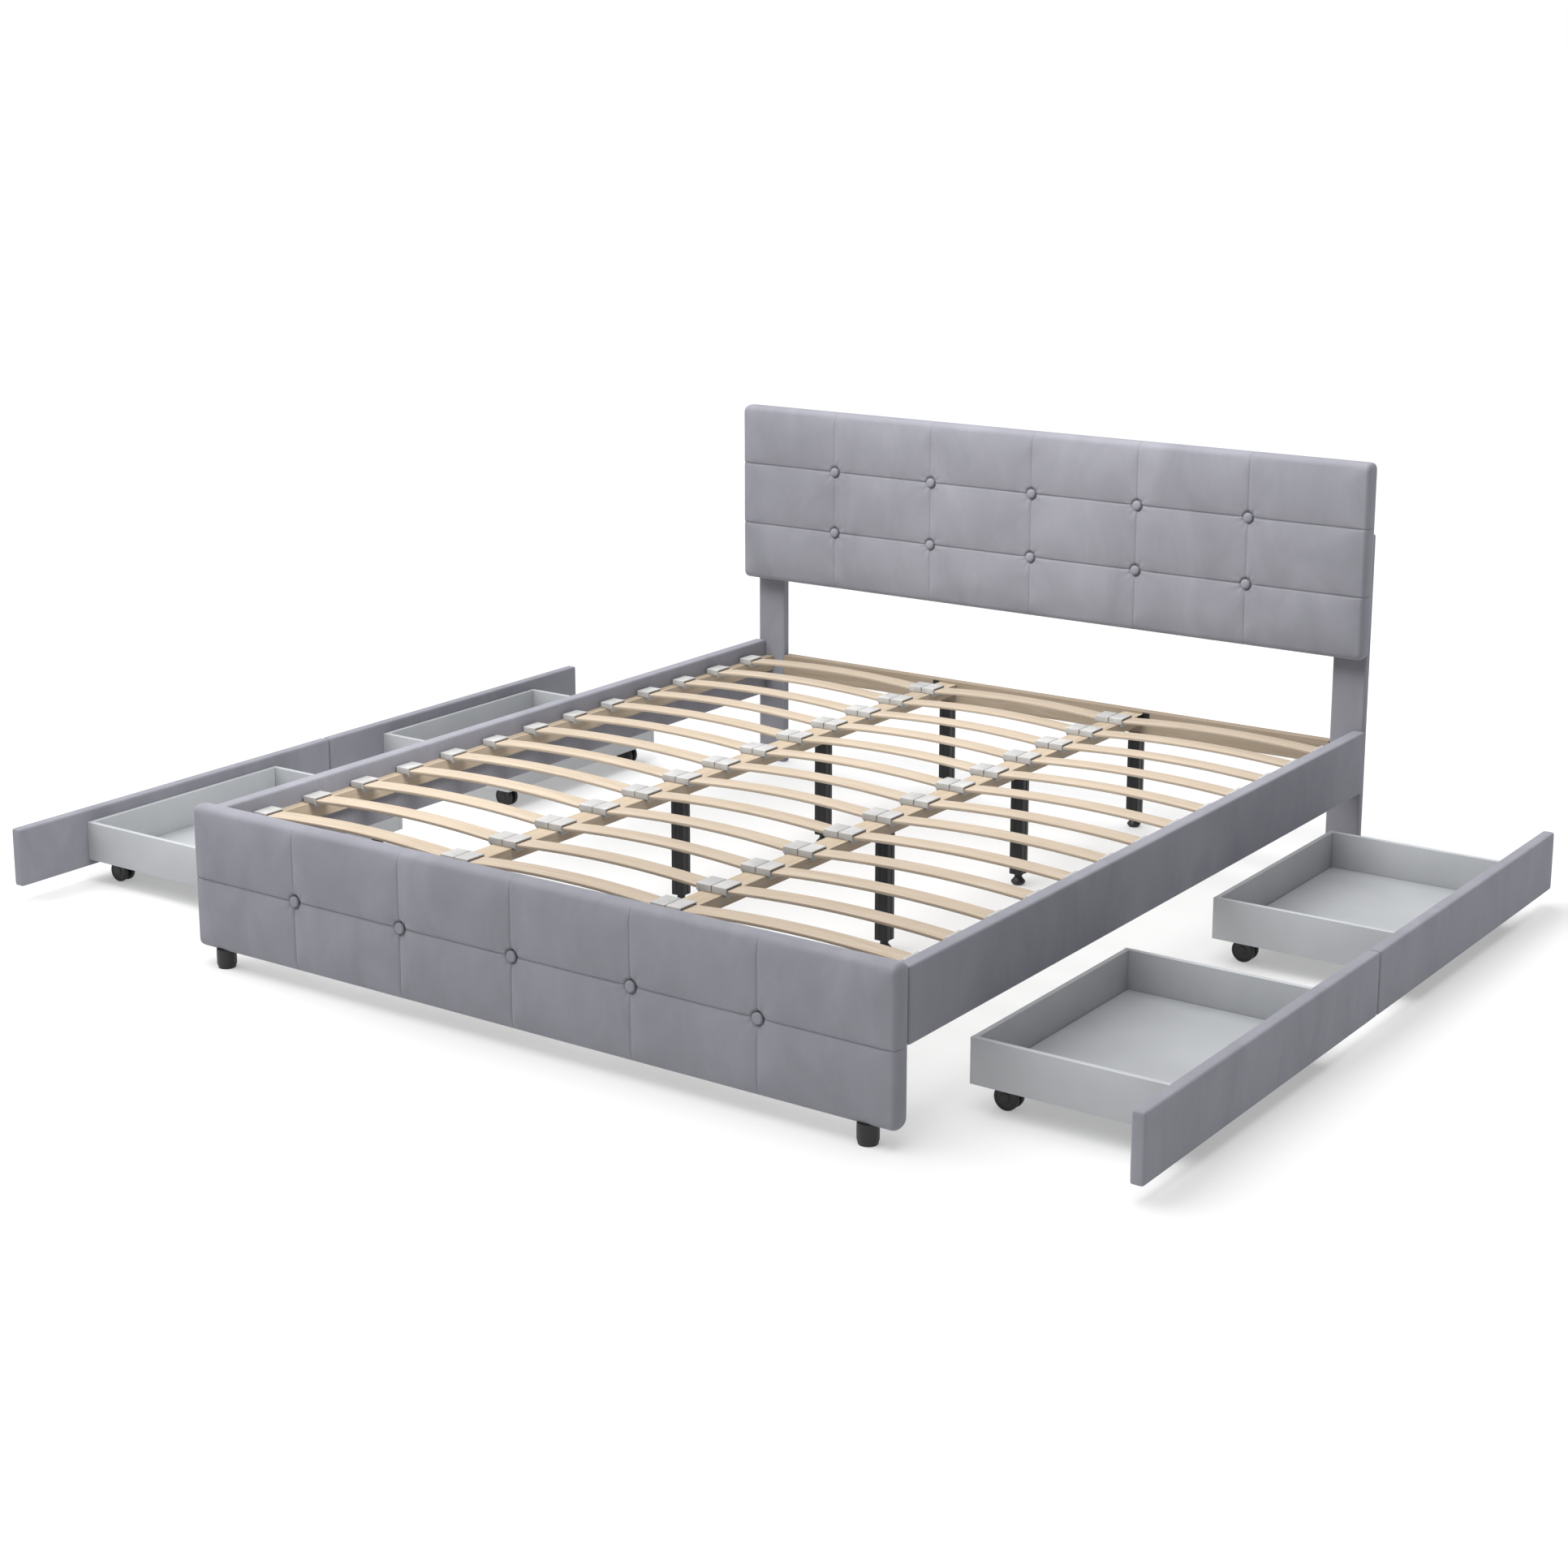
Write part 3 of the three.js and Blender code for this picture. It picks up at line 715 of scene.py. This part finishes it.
def make_leg(node):
    """A square steel tube with a grooved face, and a plastic glide on a neck."""
    low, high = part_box(node)
    middle = ((low.x + high.x) / 2, (low.y + high.y) / 2, low.z)
    outline = grooved_square(LEG_SIDE, 0.0028, 0.006, 0.0012)
    inset = [(x * 0.975, y * 0.975) for x, y in outline]
    bottom, top = LEG_TUBE_BOTTOM, high.z - low.z
    loops = [[(x, y, bottom) for x, y in inset], [(x, y, bottom + 0.0006) for x, y in outline],
             [(x, y, top - 0.0006) for x, y in outline], [(x, y, top) for x, y in inset]]
    tube = merged(node + "_tube", [moved(loft(loops), middle)], BLACK_METAL)
    sharpen(tube, 28)
    finish_piece(tube, "bed", [node])
    r = (high.x - low.x) / 2
    inside = LEG_TUBE_BOTTOM + 0.0008
    profile = [(0.0005, 0.0), (r * 0.66, 0.0), (r * 0.74, 0.0008), (r * 0.97, 0.0062), (r, 0.0080),
               (r * 0.98, 0.0098), (r * 0.62, GLIDE_TOP), (r * 0.54, GLIDE_TOP + 0.0023),
               (r * 0.54, inside), (0.0005, inside)]
    glide = merged(node + "_glide", [moved(lathe(profile, 32), middle)], BLACK_PLASTIC)
    sharpen(glide, 40)
    finish_piece(glide, "bed")


def grooved_square(side, radius, groove, depth):
    """A square section with rounded corners and a shallow groove in the middle of each face."""
    h, g = side / 2, groove / 2
    points = []
    for quarter in range(4):
        turn = Matrix.Rotation(quarter * math.pi / 2, 2)
        face = [(h, -g - depth), (h - depth, -g), (h - depth, g), (h, g + depth)]
        corner = [(h - radius + radius * math.cos(a), h - radius + radius * math.sin(a))
                  for a in (0, math.pi / 8, math.pi / 4, math.pi * 3 / 8, math.pi / 2)]
        points += [tuple(turn @ Vector(p)) for p in face + corner]
    return points


# ---- Slats ---------------------------------------------------------------------------------------

def slat_part(x0, x1, y, z):
    """A laminated slat bowed upwards between x0 and x1, as a rounded strip swept along its arc."""
    half = (x1 - x0) / 2
    radius = (half * half + SLAT_BOW ** 2) / (2 * SLAT_BOW)
    reach = math.asin(half / radius)
    section = rounded_rectangle(SLAT_WIDTH, SLAT_THICKNESS, 0.0022)
    loops = []
    steps = 30
    for i in range(steps + 1):
        angle = reach * (2 * i / steps - 1)
        up = Vector((math.sin(angle), 0, math.cos(angle)))
        center = Vector(((x0 + x1) / 2, y, z + SLAT_END_HEIGHT + SLAT_BOW - radius)) + up * radius
        loops.append([tuple(center + Vector((0, a, 0)) + up * b) for a, b in section])
    return loft(loops)


def socket_part(closed, mouth, y, z):
    """A moulded socket from its closed end to its mouth, with a slight lip, and a hook under it."""
    toward = 1 if mouth > closed else -1
    outer = rounded_rectangle(*HOLDER_SECTION, 0.0012)
    lip = rounded_rectangle(*LIP_SECTION, 0.0014)
    inner = rounded_rectangle(*MOUTH_SECTION, 0.0010)
    middle = z + 0.0081

    def ring(x, shape, shrink=0.0):
        factor = 1 - shrink
        return [(x, y + a * factor, middle + b * factor) for a, b in shape]

    loops = [ring(closed, outer, 0.05), ring(closed + toward * 0.0008, outer),
             ring(mouth - toward * 0.0050, outer), ring(mouth - toward * 0.0044, lip),
             ring(mouth - toward * 0.0006, lip), ring(mouth, lip, 0.03), ring(mouth, inner),
             ring(mouth - toward * 0.031, inner)]
    hook_x = sorted((mouth - toward * 0.001, mouth - toward * 0.0085))
    hook = (hook_x, (y - 0.024, y + 0.024), (z - 0.006, z + 0.002))
    verts, faces = box_grid([edge_lines(a, b, 0.001, 0.1, 2) for a, b in hook])
    low, high = verts.min(0), verts.max(0)
    return [loft(loops), (round_edges(verts, low, high, 0.001), faces)]


def make_slats():
    rails = []
    for side in SIDES:
        low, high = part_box(f"centre_rail_{side}")
        rails.append((low.x + high.x) / 2)
    rows = sorted(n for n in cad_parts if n.startswith("slat_row_"))
    for row in rows:
        low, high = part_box(row)
        y, z = (low.y + high.y) / 2, low.z
        split = HOLDER_SPLIT / 2
        bays = [(low.x, rails[0] - split), (rails[0] + split, rails[1] - split),
                (rails[1] + split, high.x)]
        number = row[-2:]
        for name, (x0, x1) in zip(("left", "middle", "right"), bays):
            slat = merged(f"slat_{number}_{name}",
                          [slat_part(x0 + SOCKET_INSET, x1 - SOCKET_INSET, y, z)], SLAT)
            sharpen(slat, 40)
            finish_piece(slat, "bed", [row])
        holders = {
            "left": socket_part(bays[0][0], bays[0][0] + HOLDER_LENGTH, y, z),
            "centre_left": socket_part(bays[0][1], bays[0][1] - HOLDER_LENGTH, y, z)
            + socket_part(bays[1][0], bays[1][0] + HOLDER_LENGTH, y, z) + [bridge_part(rails[0], y, z)],
            "centre_right": socket_part(bays[1][1], bays[1][1] - HOLDER_LENGTH, y, z)
            + socket_part(bays[2][0], bays[2][0] + HOLDER_LENGTH, y, z) + [bridge_part(rails[1], y, z)],
            "right": socket_part(bays[2][1], bays[2][1] - HOLDER_LENGTH, y, z),
        }
        for place, parts in holders.items():
            holder = merged(f"slat_holder_{number}_{place}", parts, HOLDER)
            sharpen(holder)
            finish_piece(holder, "bed")


def bridge_part(x, y, z):
    """The web under the slot of a centre holder."""
    low, high = np.array((x - 0.004, y - 0.026, z + 0.0004)), np.array((x + 0.004, y + 0.026, z + 0.0048))
    verts, faces = box_grid([edge_lines(a, b, 0.0005, 0.1, 1) for a, b in zip(low, high)])
    return round_edges(verts, low, high, 0.0005), faces


# ---- Drawers -------------------------------------------------------------------------------------

def make_drawers():
    for side in SIDES:
        for end in ENDS:
            make_drawer_box(side, end)


def make_drawer_box(side, end):
    node = f"drawer_box_{side}_{end}"
    body = f"drawer_{side}_{end}"
    low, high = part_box(node)
    bottom = WHEEL_RADIUS * 2 + CASTER_CLEARANCE
    outward = 1 if side == "right" else -1
    back_x, front_x = (low.x, high.x) if outward > 0 else (high.x, low.x)
    edge = 0.0007
    joint = 0.0008
    x0, x1 = sorted((back_x, front_x))
    boards = {
        "side_foot": ((x0, low.y, bottom), (x1, low.y + BOX_WALL, high.z)),
        "side_head": ((x0, high.y - BOX_WALL, bottom), (x1, high.y, high.z)),
    }
    for place, x, inward in (("back", back_x, outward), ("inner_front", front_x, -outward)):
        a, b = sorted((x, x + inward * BOX_WALL))
        boards[place] = ((a, low.y + BOX_WALL + joint, bottom),
                         (b, high.y - BOX_WALL - joint, high.z - 0.0004))
    boards["bottom"] = ((x0 + BOX_WALL + joint, low.y + BOX_WALL + joint, bottom + 0.001),
                        (x1 - BOX_WALL - joint, high.y - BOX_WALL - joint, bottom + BOX_FLOOR))
    for i, (place, (a, b)) in enumerate(boards.items()):
        # The bottom board gets the darker laminate: painted shade.
        face = LAMINATE_BOTTOM_PAINTED_SHADE if place == "bottom" else LAMINATE
        board = rounded_block(f"{node}_{place}", a, b, edge, face, 0.2, 2)
        sharpen(board, 50)
        finish_piece(board, body, [node] if i == 0 else ())
    caster_x = {"back": back_x + outward * CASTER_FROM_END, "front": front_x - outward * CASTER_FROM_END}
    caster_y = {"foot": low.y + CASTER_FROM_SIDE, "head": high.y - CASTER_FROM_SIDE}
    for x_name, x in caster_x.items():
        for y_name, y in caster_y.items():
            make_caster(f"{side}_{end}_{x_name}_{y_name}", x, y, bottom, body)


def make_caster(name, x, y, top, body):
    """A fixed twin-wheel caster: its plate with four screws, hood, and two wheels on an axle."""
    outline = rounded_rectangle(PLATE_SIDE, PLATE_SIDE, 0.005, 4)
    levels = ((0.96, top - 0.0021), (1.0, top - 0.0016), (1.0, top - 0.0002), (0.98, top))
    plate_part = loft([[(x + a * s, y + b * s, z) for a, b in outline] for s, z in levels])
    plate = merged(f"caster_plate_{name}", [plate_part], STEEL)
    sharpen(plate)
    finish_piece(plate, body)
    screws = []
    head = [(0.0002, -0.0012), (0.0016, -0.0011), (0.0028, -0.0006), (0.0031, 0.0), (0.0002, 0.0)]
    for sx in (-1, 1):
        for sy in (-1, 1):
            at = (x + sx * SCREW_PLACE, y + sy * SCREW_PLACE, top - 0.0020)
            screws.append(moved(lathe(head, 14), at))
    obj = merged(f"caster_screws_{name}", screws, STEEL)
    finish_piece(obj, body)
    hood = merged(f"caster_hood_{name}", [moved(hood_part(), (x, y, WHEEL_RADIUS))], BLACK_PLASTIC)
    sharpen(hood, 40)
    finish_piece(hood, body)
    along_y = Matrix.Rotation(math.pi / 2, 3, "X")
    axle = lathe([(0.0003, -0.0065), (0.0039, -0.0065), (0.0039, 0.0065), (0.0003, 0.0065)], 20)
    turning = [wheel_part(-1), wheel_part(1), axle]
    wheels = [moved(turned(part, along_y), (x, y, WHEEL_RADIUS)) for part in turning]
    wheel = merged(f"caster_wheels_{name}", wheels, BLACK_PLASTIC)
    sharpen(wheel, 40)
    finish_piece(wheel, f"caster_{name}", [f"caster_wheel_{name}"])


def hood_part():
    """The web between the wheels: a boss round the axle that widens to the plate."""
    half = 0.0052
    top = 0.0272
    boss = 0.0115
    under = np.linspace(math.pi * 1.08, math.pi * 1.92, 14)
    outline = [(boss * math.cos(a), boss * math.sin(a)) for a in under]
    outline += [(0.0165, top - 0.006), (0.0175, top), (-0.0175, top), (-0.0165, top - 0.006)]
    slices = ((0.97, -half), (1.0, -half + 0.0006), (1.0, half - 0.0006), (0.97, half))
    return loft([[(px * s, py, pz * s) for px, pz in outline] for s, py in slices])


def wheel_part(sign):
    """One wheel, axis along Z: a tread with eased shoulders and a dished, ringed outer face."""
    r = WHEEL_RADIUS
    inner, outer = 0.0060, 0.0170
    profile = [(0.0040, inner), (r * 0.90, inner), (r * 0.985, inner + 0.0009), (r, inner + 0.0022),
               (r, outer - 0.0042), (r * 0.985, outer - 0.0020), (r * 0.93, outer - 0.0006),
               (r * 0.86, outer), (r * 0.80, outer), (r * 0.77, outer - 0.0012),
               (r * 0.40, outer - 0.0018), (r * 0.36, outer - 0.0004), (r * 0.20, outer), (0.0004, outer)]
    points = [(radius, sign * height) for radius, height in profile]
    return lathe(points, 44)


# ---- Floor, light and camera ---------------------------------------------------------------------

def make_stage():
    """A pale floor that runs to the horizon, lifted to white by a little glow of its own."""
    size = 400.0
    corners = [(-size, -size, 0), (size, -size, 0), (size, size, 0), (-size, size, 0)]
    mesh = mesh_from("floor", corners, [[0, 1, 2, 3]])
    t = Tree("floor")
    tone = t.noise(t.place((1.0, 1.0, 1.0)), 0.6, 2.0)
    color = t.ramp(tone, [(0.3, (0.43, 0.43, 0.43)), (0.7, (0.45, 0.45, 0.45))])
    t.shade(Base_Color=color, Roughness=0.85, Specular_IOR_Level=0.0)
    t.shade(Emission_Color=(1.0, 1.0, 1.0, 1.0), Emission_Strength=0.35)
    floor = make_object("floor", mesh, t.material, False)


def aimed(name, data, at, target):
    """A light at one place, turned towards another."""
    light = bpy.data.objects.new(name, data)
    bpy.context.scene.collection.objects.link(light)
    light.location = at
    light.rotation_euler = (Vector(target) - Vector(at)).to_track_quat("-Z", "Y").to_euler()


def soft_sun(name, toward, strength, spread):
    """A broad even light from one direction."""
    data = bpy.data.lights.new(name, "SUN")
    data.energy = strength
    data.angle = math.radians(spread)
    aimed(name, data, toward, (0, 0, 0))


def softbox(name, at, target, size, power, spread):
    """A round area light with a limited spread in degrees."""
    data = bpy.data.lights.new(name, "AREA")
    data.shape = "DISK"
    data.size = size
    data.energy = power
    data.spread = math.radians(spread)
    aimed(name, data, at, target)


def make_light():
    """A broad overhead light, two softboxes and a dim room that is bright at the horizon."""
    world = bpy.data.worlds.new("studio")
    bpy.context.scene.world = world
    world.use_nodes = True
    nodes, links = world.node_tree.nodes, world.node_tree.links
    direction = nodes.new("ShaderNodeTexCoord")
    height = nodes.new("ShaderNodeSeparateXYZ")
    links.new(direction.outputs["Generated"], height.inputs[0])
    ramp = nodes.new("ShaderNodeValToRGB")
    links.new(height.outputs["Z"], ramp.inputs["Fac"])
    ramp.color_ramp.elements[0].position = 0.03
    ramp.color_ramp.elements[0].color = (1.0, 1.0, 1.0, 1.0)
    ramp.color_ramp.elements[1].position = 0.08
    ramp.color_ramp.elements[1].color = (0.32, 0.32, 0.33, 1.0)
    links.new(ramp.outputs["Color"], nodes["Background"].inputs["Color"])
    soft_sun("overhead", (-0.34, -0.17, 1.0), 4.7, 80)
    softbox("left_fill", (0.1, -0.9, 1.5), (-1.3, -0.5, 0.1), 0.9, 5, 70)
    softbox("headboard_light", (0.0, -0.9, 2.7), (0.1, 1.0, 0.75), 1.6, 15, 75)


def make_camera():
    """The viewing angle: from the foot end's right corner, a little over 2 m up."""
    data = bpy.data.cameras.new("camera")
    data.lens = LENS
    data.shift_y = LENS_SHIFT
    data.sensor_width = SENSOR
    camera = bpy.data.objects.new("camera", data)
    bpy.context.scene.collection.objects.link(camera)
    foot_y = cad_box[0][1]
    bed_low, bed_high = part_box("side_rail_left")[0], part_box("side_rail_right")[1]
    middle_x = (bed_low.x + bed_high.x) / 2
    camera.location = (middle_x + VIEW_FROM_FOOT[0], foot_y + VIEW_FROM_FOOT[1], VIEW_HEIGHT)
    camera.rotation_euler = (math.radians(90 - VIEW_ELEVATION), 0, math.radians(VIEW_AZIMUTH))
    bpy.context.scene.camera = camera


make_camera()
make_stage()
make_light()
make_headboard()
make_footboard()
make_wrapped_boards()
make_timber()
make_legs()
make_slats()
make_drawers()
bpy.context.scene.view_settings.view_transform = "Standard"
